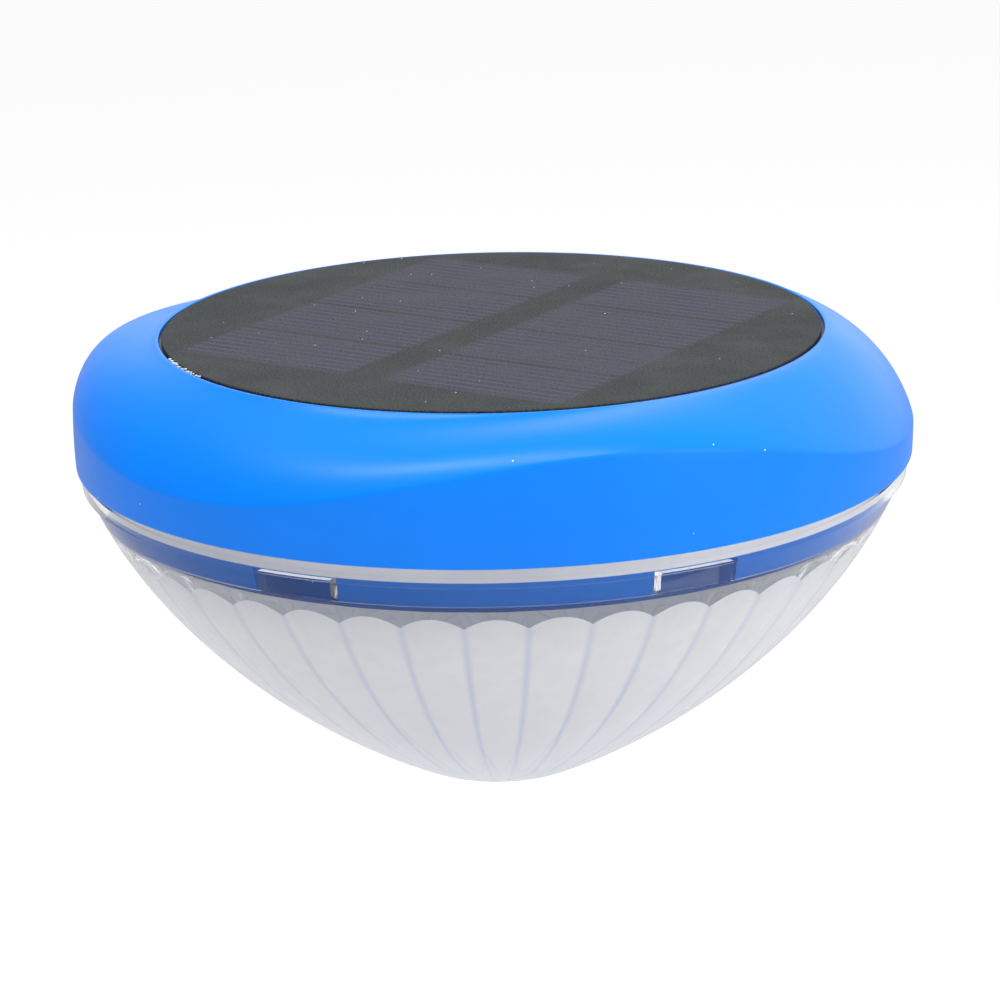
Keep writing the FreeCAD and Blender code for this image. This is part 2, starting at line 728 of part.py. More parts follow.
pads, leaves = [], []
for index, lane in enumerate((-1, 0, 1)):
    end = -1 if lane == 0 else 1  # the middle battery lies the other way round, so the three are in series
    x = s.battery_pitch * lane
    barrel_at = (x, barrel_half + barrel_shift * end, depth(s.battery_depth))
    barrel = cylinder(
        f"battery_{index + 1}_can", s.battery_radius, s.battery_length, barrel_at, tilt=((1, 0, 0), 90)
    )
    nub_at = (x, (barrel_half + barrel_shift) * end, depth(s.battery_depth))
    nub = cylinder(f"battery_{index + 1}_nub", 2.6, nub_length, nub_at, tilt=((1, 0, 0), -90 * end))
    node(f"battery_{index + 1}", fuse(f"battery_{index + 1}", barrel, nub))
    plate_sides = (9.0, contact_thickness, 10.0)
    plate_y = (inner_half - contact_thickness / 2) * end
    pads.append(block(f"pad_{index}", plate_sides, (x, plate_y, depth(s.battery_depth + 5))))
    plate = block(f"leaf_plate_{index}", plate_sides, (x, -plate_y, depth(s.battery_depth + 5)))
    gap = 2 * barrel_shift + nub_length
    spring_y = (gap / 2 + contact_thickness - inner_half) * end
    finger = block(f"leaf_finger_{index}", (3.0, gap, 0.6), (x, spring_y, depth(s.battery_depth + 0.3)))
    leaves.append(fuse(f"leaf_{index}", plate, finger))
node("battery_pads", group("battery_pads", pads))
node("battery_springs", group("battery_springs", leaves))

door_depth = tray_underside + s.door_thickness
door_plate = block("door_plate", (s.door_width, s.door_length - 4, s.door_thickness), (0, 0, depth(door_depth)))
door_tabs = block("door_tabs", (10.0, s.door_length + 2 * s.door_tab, s.door_thickness), (0, 0, depth(door_depth)))
door_holes = [hole(f"door_hole_{index}", 1.5, tray_underside, door_depth, at) for index, at in enumerate(DOOR_SCREWS)]
grip_ribs = [
    block(f"grip_rib_{index}", (24.0, 1.4, 0.8), (0, 4.0 * index, depth(door_depth + 0.8)))
    for index in (-2, -1, 0, 1, 2)
]
node("battery_door", cut("battery_door", fuse("door_blank", door_plate, door_tabs, *grip_ribs), *door_holes))
door_screws = [
    screw(f"door_screw_{index}", at, door_depth, s.screw_radius, 6.0, s.head_radius, s.head_height)
    for index, at in enumerate(DOOR_SCREWS)
]
node("door_screws", group("door_screws", door_screws))

# ---- Push switch beside the door -------------------------------------------------------------------

SWITCH_HEIGHT = 6.0
socket_depth = 2.2  # the button slides in a socket in the switch's underside
switch_foot = s.tray_depth
switch_case = block("switch_case", (8.0, 8.0, SWITCH_HEIGHT), (s.switch_x, 0, depth(switch_foot)))
button_socket = cylinder(
    "button_socket",
    s.button_radius + s.button_play,
    socket_depth + OVERLAP,
    (s.switch_x, 0, depth(switch_foot + OVERLAP)),
)
node("switch_body", cut("switch_body", switch_case, button_socket))
button_foot = tray_underside + s.button_stand
button_length = button_foot - switch_foot + 0.4
stem = cylinder("button_stem", s.button_radius, button_length, (s.switch_x, 0, depth(button_foot)))
node("power_button", stem)

# ---- Control board over the battery holder ---------------------------------------------------------

control_depth = s.holder_depth
control_top = control_depth - s.board_thickness
board_radius = 46.0
board_disc = cylinder("control_disc", board_radius, s.board_thickness, (0, 0, depth(control_depth)))
node("control_board", board_disc)


def on_board(name, sides, at):
    return block(name, sides, (at[0], at[1], depth(control_top)))


node("control_chip", on_board("control_chip", (6.0, 8.0, 1.6), (-14, 8)))
node("boost_inductor", cylinder("boost_inductor", 4.0, 3.6, (16, 12, depth(control_top))))
node("smoothing_capacitor", cylinder("smoothing_capacitor", 3.0, 4.2, (18, -12, depth(control_top))))
chips = [on_board(f"resistor_{index}", (3.0, 1.5, 0.7), (-26 + 6 * index, -16)) for index in range(6)]
node("resistors", group("resistors", chips))
sockets = [
    on_board("panel_socket", (9.0, 5.0, 4.0), (0, 0)),
    on_board("light_socket", (5.0, 9.0, 4.0), (36, 0)),
    on_board("battery_socket", (7.0, 5.0, 4.0), (-6, 26)),
]
node("wire_sockets", group("wire_sockets", sockets))

# ---- Wires -----------------------------------------------------------------------------------------

panel_leads = [
    cylinder(f"panel_lead_{side}", s.wire_radius, control_top - 4.0 - board_depth, (side, 0, depth(control_top - 4.0)))
    for side in (-1.2, 1.2)
]
node("panel_leads", group("panel_leads", panel_leads))
light_leads = [
    cylinder(f"light_lead_{index}", s.wire_radius, tray_underside - control_depth, (x, y, depth(tray_underside)))
    for index, (x, y) in enumerate(light_leads_at)
]
node("light_leads", group("light_leads", light_leads))
switch_leads = [
    cylinder(
        f"switch_lead_{side}",
        s.wire_radius,
        switch_foot - SWITCH_HEIGHT - control_depth,
        (s.switch_x + side, 0, depth(switch_foot - SWITCH_HEIGHT)),
    )
    for side in (-2, 2)
]
node("switch_leads", group("switch_leads", switch_leads))

# ---- Checks and files ------------------------------------------------------------------------------

doc.recompute()
for thing in doc.Objects:
    assert not {"Invalid", "Error"} & set(thing.State), f"{thing.Name} failed: {thing.State}"
os.makedirs("parts", exist_ok=True)
for thing in NODES:
    shape = thing.Shape
    assert not shape.isNull() and shape.isValid(), f"{thing.Label} has a bad shape"
    assert shape.Solids and all(solid.Volume > 0 for solid in shape.Solids), f"{thing.Label} holds no solid"
    shape.exportStep(f"parts/{thing.Label}.step")
    box = shape.BoundBox
    print(f"{thing.Label:22} {len(shape.Solids):2} solids {shape.Volume:10.1f} mm3  z {box.ZMin:7.2f} {box.ZMax:7.2f}")
print(len(NODES), "nodes")
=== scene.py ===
"""Looks of the floating pool light: blue wavy float, dark solar panel, clear fluted bowl, lamps inside.

Metres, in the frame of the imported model. Depths are millimetres below the face of the solar panel.
"""

import math
import random

import bpy
from mathutils import Matrix, Vector


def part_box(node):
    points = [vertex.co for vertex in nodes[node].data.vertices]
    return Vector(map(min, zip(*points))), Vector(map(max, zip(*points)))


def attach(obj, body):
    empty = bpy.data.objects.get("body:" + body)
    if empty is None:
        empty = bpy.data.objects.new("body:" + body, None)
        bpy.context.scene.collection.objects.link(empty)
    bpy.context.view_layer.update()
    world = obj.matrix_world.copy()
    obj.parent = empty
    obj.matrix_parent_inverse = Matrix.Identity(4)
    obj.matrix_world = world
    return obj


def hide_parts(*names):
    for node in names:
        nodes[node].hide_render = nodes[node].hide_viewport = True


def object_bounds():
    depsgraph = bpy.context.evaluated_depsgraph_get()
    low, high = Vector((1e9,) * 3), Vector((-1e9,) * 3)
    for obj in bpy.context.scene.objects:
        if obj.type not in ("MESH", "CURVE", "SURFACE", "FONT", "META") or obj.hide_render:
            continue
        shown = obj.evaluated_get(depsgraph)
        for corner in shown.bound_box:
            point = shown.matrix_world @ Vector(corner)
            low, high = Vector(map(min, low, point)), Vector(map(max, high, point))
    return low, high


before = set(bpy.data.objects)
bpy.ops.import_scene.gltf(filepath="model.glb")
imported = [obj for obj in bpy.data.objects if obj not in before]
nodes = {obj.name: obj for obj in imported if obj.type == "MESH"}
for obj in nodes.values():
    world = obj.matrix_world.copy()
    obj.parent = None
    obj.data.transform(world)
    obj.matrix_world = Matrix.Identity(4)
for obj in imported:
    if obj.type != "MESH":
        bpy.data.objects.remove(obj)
cad_box = [list(corner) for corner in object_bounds()]

MM = 0.001
PANEL_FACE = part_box("panel_encapsulant")[1][2]


# ---- Meshes --------------------------------------------------------------------------------------


def spot(radius, down, degrees):
    """A point from its radius and depth in millimetres and its angle from the front towards +X."""
    angle = math.radians(degrees)
    return Vector((radius * MM * math.sin(angle), -radius * MM * math.cos(angle), PANEL_FACE - down * MM))


def new_mesh(name, vertices, faces, material, body, smooth_below=35.0):
    mesh = bpy.data.meshes.new(name)
    mesh.from_pydata([tuple(v) for v in vertices], [], faces)
    thing = bpy.data.objects.new(name, mesh)
    bpy.context.scene.collection.objects.link(thing)
    mesh.materials.append(material)
    mesh.shade_smooth()
    mesh.set_sharp_from_angle(angle=math.radians(smooth_below))
    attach(thing, body)
    return thing


def lathe(name, angles, profile, material, body, smooth_below=35.0):
    """A closed surface from profile(degrees), which lists as many (radius, depth) points at every angle."""
    rings = [profile(degrees) for degrees in angles]
    rows = len(rings[0])
    vertices = [spot(r, d, degrees) for degrees, ring in zip(angles, rings) for r, d in ring]
    faces = []
    for column in range(len(angles)):
        after = (column + 1) % len(angles)
        for row in range(rows):
            below = (row + 1) % rows
            here, there = column * rows, after * rows
            faces.append((here + row, here + below, there + below, there + row))
    return new_mesh(name, vertices, faces, material, body, smooth_below)


def bezier(points, steps):
    """Points along a Bezier curve, both ends among them."""
    found = []
    for step in range(steps + 1):
        t = step / steps
        layer = list(points)
        while len(layer) > 1:
            layer = [
                ((1 - t) * a[0] + t * b[0], (1 - t) * a[1] + t * b[1]) for a, b in zip(layer, layer[1:])
            ]
        found.append(layer[0])
    return found


def fillet(before, corner, after, radius, steps=4):
    """Points that round a corner of a profile."""
    ends = []
    for other in (before, after):
        length = math.dist(corner, other)
        share = min(radius / length, 0.49)
        ends.append((corner[0] + (other[0] - corner[0]) * share, corner[1] + (other[1] - corner[1]) * share))
    return bezier([ends[0], corner, ends[1]], steps)


# ---- Materials -----------------------------------------------------------------------------------


def set_range(node, *limits):
    """Sets a Map Range node to run from the first two limits to the last two."""
    for name, number in zip(("From Min", "From Max", "To Min", "To Max"), limits):
        node.inputs[name].default_value = number


class Look:
    """A Principled material with small helpers for its procedural inputs."""

    def __init__(self, name, colour, roughness, **values):
        self.material = bpy.data.materials.new(name)
        self.material.use_nodes = True
        self.tree = self.material.node_tree
        self.shader = self.tree.nodes["Principled BSDF"]
        self.set("Base Color", (*colour, 1.0))
        self.set("Roughness", roughness)
        for socket, value in values.items():
            self.set(socket.replace("_", " "), value)
        self.place = self.node("ShaderNodeTexCoord").outputs["Object"]

    def set(self, socket, value):
        self.shader.inputs[socket].default_value = value

    def node(self, kind, **values):
        made = self.tree.nodes.new(kind)
        for name, value in values.items():
            if name in made.inputs:
                made.inputs[name].default_value = value
            else:
                setattr(made, name, value)
        return made

    def link(self, output, socket):
        self.tree.links.new(output, socket)

    def noise(self, scale, detail):
        made = self.node("ShaderNodeTexNoise", Scale=scale, Detail=detail)
        self.link(self.place, made.inputs["Vector"])
        return made.outputs["Fac"]

    def range(self, value, low, high, out_low, out_high):
        made = self.node("ShaderNodeMapRange")
        set_range(made, low, high, out_low, out_high)
        self.link(value, made.inputs["Value"])
        return made.outputs["Result"]

    def math(self, operation, a, b=0.0):
        made = self.node("ShaderNodeMath", operation=operation)
        for socket, value in zip(made.inputs, (a, b)):
            if isinstance(value, (int, float)):
                socket.default_value = value
            else:
                self.link(value, socket)
        return made.outputs["Value"]

    def mix(self, factor, a, b):
        made = self.node("ShaderNodeMix", data_type="RGBA")
        for socket, value in ((made.inputs[0], factor), (made.inputs[6], a), (made.inputs[7], b)):
            if isinstance(value, tuple):
                socket.default_value = (*value, 1.0)
            elif isinstance(value, (int, float)):
                socket.default_value = value
            else:
                self.link(value, socket)
        return made.outputs[2]

    def from_middle(self, distance, pitch):
        """How far a place is from the middle of its stripe, as a share of the pitch of the stripes."""
        share = self.math("FRACT", self.math("DIVIDE", distance, pitch))
        return self.math("ABSOLUTE", self.math("SUBTRACT", share, 0.5))

    def depth(self):
        """Millimetres below the face of the solar panel."""
        parts = self.node("ShaderNodeSeparateXYZ")
        self.link(self.place, parts.inputs[0])
        return self.math("MULTIPLY", self.math("SUBTRACT", PANEL_FACE, parts.outputs[2]), 1000.0)

    def specks(self, scale, size):
        """1 inside scattered tiny grains of dust, 0 elsewhere."""
        made = self.node("ShaderNodeTexVoronoi", Scale=scale)
        self.link(self.place, made.inputs["Vector"])
        return self.math("LESS_THAN", made.outputs["Distance"], size)

    def bump(self, height, strength, distance):
        made = self.node("ShaderNodeBump", Strength=strength, Distance=distance)
        self.link(height, made.inputs["Height"])
        self.link(made.outputs["Normal"], self.shader.inputs["Normal"])


def moulded(name, colour, roughness):
    """Moulded plastic: fine grain, and a roughness and colour that drift a little."""
    look = Look(name, colour, roughness)
    drift = look.noise(45.0, 3.0)
    look.link(look.range(drift, 0.3, 0.7, roughness * 0.85, roughness * 1.2), look.shader.inputs["Roughness"])
    darker = tuple(channel * 0.9 for channel in colour)
    shade = look.range(drift, 0.35, 0.7, 0.0, 1.0)
    look.link(look.mix(shade, colour, darker), look.shader.inputs["Base Color"])
    look.bump(look.noise(2200.0, 2.0), 0.15, 0.00006)
    return look.material


def metal(name, colour, roughness):
    look = Look(name, colour, roughness, Metallic=1.0)
    scratches = look.noise(900.0, 4.0)
    worn = look.range(scratches, 0.3, 0.7, roughness * 0.7, roughness * 1.4)
    look.link(worn, look.shader.inputs["Roughness"])
    look.bump(scratches, 0.1, 0.00003)
    return look.material


def clear_plastic():
    """Clear in the flange, and faintly grey below it, which draws the edges of the bowl."""
    look = Look("clear_plastic", (0.99, 0.99, 1.0), 0.02, IOR=1.33, Transmission_Weight=1.0)
    look.set("Specular IOR Level", 0.15)
    greyer = look.range(look.depth(), 30.0, 34.0, 0.0, 1.0)
    look.link(look.mix(greyer, (0.99, 0.99, 1.0), (0.955, 0.96, 0.975)), look.shader.inputs["Base Color"])
    look.bump(look.noise(60.0, 2.0), 0.04, 0.0003)
    return look.material


FLUTES = 40


def frosted_plastic():
    """The fluted inside of the lens: cloudy, with a thin bluish line along each ridge that is a painted
    reflection and painted shade.
    """
    look = Look("fluted_plastic", (0.9, 0.905, 0.92), 0.5, IOR=1.3, Transmission_Weight=0.18)
    look.set("Specular IOR Level", 0.25)
    parts = look.node("ShaderNodeSeparateXYZ")
    look.link(look.place, parts.inputs[0])
    turn = look.math("ARCTAN2", parts.outputs[0], look.math("MULTIPLY", parts.outputs[1], -1.0))
    place = look.math("FRACT", look.math("ADD", look.math("MULTIPLY", turn, FLUTES / (2 * math.pi)), 10.5))
    from_ridge = look.math("SUBTRACT", 0.5, look.math("ABSOLUTE", look.math("SUBTRACT", place, 0.5)))
    fading = look.range(look.depth(), 36.0, 62.0, 0.45, 1.0)
    # Painted reflection and shade: a bluish line along each ridge of the flutes, stronger towards the tip.
    line = look.math("MULTIPLY", look.range(from_ridge, 0.0, 0.1, 1.0, 0.0), fading)
    streaks = look.range(look.noise(260.0, 3.0), 0.35, 0.7, 0.0, 1.0)
    cloud = look.mix(streaks, (0.93, 0.935, 0.95), (0.97, 0.975, 0.985))
    body = look.mix(look.range(look.depth(), 45.0, 88.0, 0.0, 1.0), cloud, (0.78, 0.8, 0.84))
    look.link(look.mix(line, body, (0.68, 0.72, 0.88)), look.shader.inputs["Base Color"])
    look.link(look.range(streaks, 0.0, 1.0, 0.42, 0.55), look.shader.inputs["Roughness"])
    return look.material


def float_plastic():
    """Satin blue moulding with a fine orange peel and specks of dust, and painted shade: a deeper blue below
    the rim, where the lens covers it.
    """
    look = Look("blue_float_plastic", BLUE, 0.33)
    look.set("Specular IOR Level", 0.17)
    drift = look.noise(38.0, 3.0)
    look.link(look.range(drift, 0.3, 0.7, 0.3, 0.38), look.shader.inputs["Roughness"])
    worn = look.mix(look.range(drift, 0.35, 0.7, 0.0, 1.0), BLUE, tuple(channel * 0.94 for channel in BLUE))
    # Painted shade: a deeper blue below the rim.
    shaded_below_rim = look.mix(look.range(look.depth(), 24.2, 25.0, 0.0, 1.0), worn, (0.0, 0.17, 0.68))
    look.link(look.mix(look.specks(150.0, 0.022), shaded_below_rim, (0.7, 0.8, 0.95)), look.shader.inputs["Base Color"])
    look.bump(look.noise(1500.0, 2.0), 0.22, 0.00006)
    return look.material


BLUE = (0.002, 0.21, 0.9)
blue = float_plastic()
clear = clear_plastic()
frosted = frosted_plastic()
MATERIALS = {
    "top_housing": blue,
    "battery_door": blue,
    "lens_seal": moulded("gasket_silicone", (0.9, 0.91, 0.93), 0.45),
    "panel_board": moulded("panel_board_mask", (0.07, 0.08, 0.084), 0.5),
    # The sealant is painted near black, a painted shadow in the gap round the panel.
    "panel_sealant": moulded("sealant", (0.006, 0.01, 0.02), 0.4),
    "panel_adhesive": moulded("panel_bond", (0.75, 0.75, 0.72), 0.6),
    "lens_dome": clear,
    "lamp_tray": moulded("white_tray", (0.8, 0.81, 0.81), 0.4),
    "reflector_ring": metal("reflector_metal", (0.9, 0.9, 0.91), 0.12),
    "light_board": moulded("light_board_mask", (0.8, 0.8, 0.78), 0.45),
    "battery_holder": moulded("holder_plastic", (0.03, 0.03, 0.033), 0.5),
    "switch_body": moulded("switch_plastic", (0.03, 0.03, 0.033), 0.4),
    "power_button": moulded("button_plastic", (0.7, 0.03, 0.02), 0.35),
    "control_board": moulded("board_mask", (0.01, 0.14, 0.05), 0.4),
    "control_chip": moulded("chip_resin", (0.015, 0.015, 0.016), 0.55),
    "boost_inductor": moulded("ferrite", (0.03, 0.03, 0.033), 0.6),
    "resistors": moulded("chip_body", (0.03, 0.03, 0.035), 0.5),
    "wire_sockets": moulded("socket_plastic", (0.82, 0.8, 0.74), 0.45),
    "smoothing_capacitor": metal("capacitor_can", (0.75, 0.76, 0.78), 0.3),
}
steel = metal("stainless_steel", (0.62, 0.61, 0.6), 0.28)
tin = metal("tinned_copper", (0.7, 0.71, 0.73), 0.35)
wire_cover = moulded("wire_cover", (0.6, 0.03, 0.02), 0.4)
battery_wrap = moulded("battery_wrap", (0.03, 0.3, 0.1), 0.3)
lamp_body = moulded("lamp_body", (0.85, 0.8, 0.6), 0.35)
for names, material in (
    (("tray_screws", "door_screws", "reflector_screws"), steel),
    (("battery_pads", "battery_springs"), metal("nickel_contact", (0.72, 0.69, 0.62), 0.3)),
    (("cell_ribbons",), tin),
    (("panel_leads", "light_leads", "switch_leads"), wire_cover),
    (tuple(f"battery_{i}" for i in (1, 2, 3)), battery_wrap),
    (tuple(f"lamp_{i}" for i in range(1, 7)), lamp_body),
):
    MATERIALS.update({name: material for name in names})

COLUMN_ANGLE = 57.8  # degrees, the direction of the columns of cells from +X
CELL_PITCH = 22.8 * MM
FINGER_PITCH = 2.56 * MM
COLUMN_END = 45.8 * MM  # from the middle of the panel to the ends of the columns
COLUMN_SIDE = 42.9 * MM  # and to their outer sides
SEAM = 3.7 * MM  # and to their inner sides
SOFT_EDGE = 1.6 * MM


def cell_directions(look):
    """The place along the columns of cells and across them."""
    turned = look.node("ShaderNodeMapping")
    turned.inputs["Rotation"].default_value = (0, 0, -math.radians(COLUMN_ANGLE))
    look.link(look.place, turned.inputs["Vector"])
    parts = look.node("ShaderNodeSeparateXYZ")
    look.link(turned.outputs["Vector"], parts.inputs[0])
    return parts.outputs[0], parts.outputs[1]


def wafer():
    """Dark blue-grey silicon with fine pale finger lines along each cell."""
    look = Look("silicon_wafer", (0.07, 0.075, 0.11), 0.3)
    along, _ = cell_directions(look)
    phase = look.math("FRACT", look.math("DIVIDE", along, FINGER_PITCH))
    line = look.math("LESS_THAN", phase, 0.12)
    cloudy = look.mix(look.noise(160.0, 3.0), (0.1, 0.1, 0.155), (0.15, 0.145, 0.21))
    look.link(look.mix(line, cloudy, (0.33, 0.34, 0.42)), look.shader.inputs["Base Color"])
    return look.material


def panel_face():
    """Charcoal resin with a fine grain, in which the eight cells show as bluer fields with fine lines."""
    look = Look("panel_encapsulant_resin", (0.05, 0.06, 0.062), 0.6)
    look.set("Specular IOR Level", 0.1)
    along, across = (look.math("ABSOLUTE", distance) for distance in cell_directions(look))
    in_row = look.range(look.from_middle(along, CELL_PITCH), 0.445, 0.49, 1.0, 0.0)
    in_length = look.range(along, COLUMN_END - SOFT_EDGE, COLUMN_END, 1.0, 0.0)
    off_seam = look.range(across, SEAM, SEAM + 1.5 * MM, 0.0, 1.0)
    in_width = look.range(across, COLUMN_SIDE - 1.5 * MM, COLUMN_SIDE, 1.0, 0.0)
    lengthwise = look.math("MULTIPLY", in_row, in_length)
    crosswise = look.math("MULTIPLY", off_seam, in_width)
    cell = look.math("MULTIPLY", lengthwise, crosswise)
    line = look.range(look.from_middle(along, FINGER_PITCH), 0.05, 0.16, 1.0, 0.0)
    grain = look.noise(2400.0, 2.0)
    patches = look.noise(90.0, 3.0)
    shade = look.range(grain, 0.36, 0.64, 0.0, 1.0)
    resin = look.mix(shade, (0.019, 0.0225, 0.0235), (0.051, 0.056, 0.059))
    silicon = look.mix(shade, (0.028, 0.029, 0.044), (0.063, 0.065, 0.087))
    strength = look.math("MULTIPLY", line, look.range(patches, 0.38, 0.62, 0.1, 0.75))
    lined = look.mix(strength, silicon, (0.085, 0.086, 0.12))
    dusty = look.mix(look.specks(220.0, 0.03), look.mix(cell, resin, lined), (0.8, 0.82, 0.82))
    look.link(dusty, look.shader.inputs["Base Color"])
    look.link(look.range(patches, 0.3, 0.7, 0.55, 0.68), look.shader.inputs["Roughness"])
    look.bump(grain, 0.4, 0.0001)
    return look.material


silicon_wafer = wafer()
MATERIALS.update({f"solar_cell_{i}": silicon_wafer for i in range(1, 9)})
panel_resin = panel_face()
MATERIALS["panel_encapsulant"] = panel_resin

for name, material in MATERIALS.items():
    mesh = nodes[name].data
    for index in range(len(mesh.materials)):
        nodes[name].material_slots[index].link = "OBJECT"
        nodes[name].material_slots[index].material = material

# ---- Lens ------------------------------------------------------------------------------------------

EDGE = 0.02  # mm or degrees, what keeps two points apart
HALF_FLUTE = 180.0 / FLUTES
FLANGE = [(80.6, 24.4), (80.6, 28.0), (79.7, 28.0)]
BOWL = [(79.7, 28.0), (74.4, 41.8), (58.3, 67.5), (18.6, 87.7)]
TIP = [(18.6, 87.7), (13.3, 90.4), (EDGE, 90.4)]
NECK = [(76.2, 24.4), (76.1, 33.0)]
RIDGE = [(73.1, 37.4), (68.0, 48.0), (40.0, 81.5), (8.0, 87.5)]
GROOVE = [(74.7, 35.2), (69.8, 47.0), (40.0, 83.0), (8.0, 87.9)]
KEY_ANGLES = (28.0, 152.0, 208.0, 332.0)
KEY_HALF_WIDTH = 5.5
KEY_TOP = 28.5
KEY_FOOT = 32.4
KEY_FACE = 73.2
KEY_PLAY = 1.0
NOTCH_PLAY = 0.3


def in_key(degrees, half_width):
    return any(abs((degrees - key + 180.0) % 360.0 - 180.0) < half_width for key in KEY_ANGLES)


def edge_angles(count, half_width):
    """Evenly spaced angles, with a close pair at each side of each key."""
    angles = {round(360.0 * index / count, 4) for index in range(count)}
    for key in KEY_ANGLES:
        for side in (-half_width, half_width):
            angles |= {round((key + side - EDGE) % 360.0, 4), round((key + side + EDGE) % 360.0, 4)}
    return sorted(angles)


outside = (
    fillet(NECK[0], FLANGE[0], FLANGE[1], 0.3)
    + fillet(FLANGE[0], FLANGE[1], FLANGE[2], 0.35)
    + bezier(BOWL, 60)
    + bezier(TIP, 14)[1:]
)
ridge_line = bezier(RIDGE, 60)
groove_line = bezier(GROOVE, 60)


def lens_profile(degrees):
    across = ((degrees + HALF_FLUTE) % (2 * HALF_FLUTE)) / HALF_FLUTE - 1.0
    hollow = 1.0 - across * across
    inside = [
        (a[0] * (1 - hollow) + b[0] * hollow, a[1] * (1 - hollow) + b[1] * hollow)
        for a, b in zip(ridge_line, groove_line)
    ]
    bore = KEY_FACE if in_key(degrees, KEY_HALF_WIDTH) else NECK[0][0]
    neck = [NECK[0], (NECK[0][0], KEY_TOP - EDGE), (bore, KEY_TOP + EDGE), (bore, KEY_FOOT - EDGE)]
    neck += [(NECK[1][0], KEY_FOOT + EDGE)] + fillet(NECK[0], NECK[1], inside[0], 0.8)
    return outside + [(EDGE, 87.9)] + inside[::-1] + neck[::-1]


lens = lathe("clear_lens", edge_angles(FLUTES * 16, KEY_HALF_WIDTH), lens_profile, clear, "lens", 25.0)
lens.data.materials.append(frosted)
rows = len(lens_profile(0.0))
for face in lens.data.polygons:
    if len(outside) - 1 <= face.index % rows <= len(outside) + len(ridge_line) - 1:
        face.material_index = 1
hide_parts("lens_dome")

# ---- Float -----------------------------------------------------------------------------------------

# The crease is a sum of waves: (crests round the rim, height in mm, degrees from the front to a crest).
CREASE_WAVES = [(1, 2.47, -21.4), (2, 2.31, 23.5), (3, 3.74, 14.6), (4, 0.67, 20.2)]
LEFT = -90.0
BACK = 165.0
LIP = (65.2, 0.22)
RECESS = 64.6
BELLY = (81.8, 17.9)  # the widest radius and its depth
WALL_CURL = 0.0045
RIM_DEPTH = 24.15
SKIRT = 75.7
SKIRT_BORE = 73.0
SKIRT_DEPTH = 32.6
GASKET = (74.0, 24.5, 27.9)
HOLLOW = [(62.0, 6.0), (70.0, 6.0), (75.0, 11.2), (77.6, 15.0), (78.4, 18.5), (73.0, 20.85)]
PANEL_SEAT = 3.4
TUB = [(62.0, 38.2), (60.0, 38.2), (60.0, 5.4), (2.5, 5.4), (2.5, PANEL_SEAT), (RECESS, PANEL_SEAT)]


def wave(degrees, count, height, crest):
    return height * math.cos(math.radians(count * (degrees - crest)))


def swell(degrees, height, middle):
    return height * (0.5 + 0.5 * math.cos(math.radians(degrees - middle))) ** 4


def wall_radius(down):
    return BELLY[0] - WALL_CURL * (down - BELLY[1]) ** 2


def float_profile(degrees):
    edge = 13.16 - sum(wave(degrees, *shape) for shape in CREASE_WAVES)
    near = (
        68.07 - wave(degrees, 3, 0.5, 8.1),
        1.68 + wave(degrees, 3, 1.54, -13.7) + wave(degrees, 1, 1.69, LEFT) + swell(degrees, 1.2, BACK),
    )
    far = (
        79.42 + wave(degrees, 3, 0.51, -4.1) + wave(degrees, 1, 0.4, LEFT) - swell(degrees, 3.4, 3.0),
        3.55 + 0.45 * (edge - 12.0) - wave(degrees, 3, 1.57, 14.0) - wave(degrees, 1, 1.2, LEFT),
    )
    crease = (wall_radius(edge), edge)
    shoulder = bezier([LIP, near, far, crease], 22)
    depths = [edge + (RIM_DEPTH - edge) * step / 10 for step in range(11)]
    wall = [(wall_radius(down), down) for down in depths]
    skirt_foot = KEY_TOP - NOTCH_PLAY if in_key(degrees, KEY_HALF_WIDTH + KEY_PLAY) else SKIRT_DEPTH
    skirt_foot = max(skirt_foot, GASKET[2] + EDGE)
    rim = fillet(wall[-2], wall[-1], (SKIRT, RIM_DEPTH), 0.35)
    skirt = [
        (SKIRT, RIM_DEPTH),
        (SKIRT, GASKET[1]),
        (GASKET[0], GASKET[1]),
        (GASKET[0], GASKET[2]),
        (SKIRT, GASKET[2]),
        (SKIRT, skirt_foot),
        (SKIRT_BORE, skirt_foot),
    ]
    top = fillet((RECESS, PANEL_SEAT), (RECESS, LIP[1]), LIP, 0.2)
    top += fillet((RECESS, LIP[1]), LIP, shoulder[1], 0.2)
    ridge = fillet(shoulder[-2], crease, wall[1], 0.55)
    return top + shoulder[1:-1] + ridge + wall[1:-1] + rim + skirt + HOLLOW[::-1] + TUB


shell = lathe("float_shell", edge_angles(720, KEY_HALF_WIDTH + KEY_PLAY), float_profile, blue, "float", 30.0)


def post(name, centre, radius, top, bottom, material, body):
    """A closed round post with softened ends."""
    sides = 28
    ring = [(radius - 0.2, top), (radius, top + 0.2), (radius, bottom - 0.2), (radius - 0.2, bottom)]
    vertices = []
    for reach, down in ring:
        for step in range(sides):
            angle = 2 * math.pi * step / sides
            offset = Vector((reach * math.cos(angle), reach * math.sin(angle), -down))
            vertices.append(centre + offset * MM)
    faces = []
    for row in range(len(ring) - 1):
        for step in range(sides):
            a, b = row * sides + step, row * sides + (step + 1) % sides
            faces.append((a, b, b + sides, a + sides))
    faces.append(tuple(range(sides))[::-1])
    faces.append(tuple(range((len(ring) - 1) * sides, len(ring) * sides)))
    return new_mesh(name, vertices, faces, material, body)


UNDER_RESIN = 1.14  # clear of the cells and their ribbons
PANEL_EDGE = 64.0
RESIN_WALL = 60.5
RESIN_FOOT = 1.6


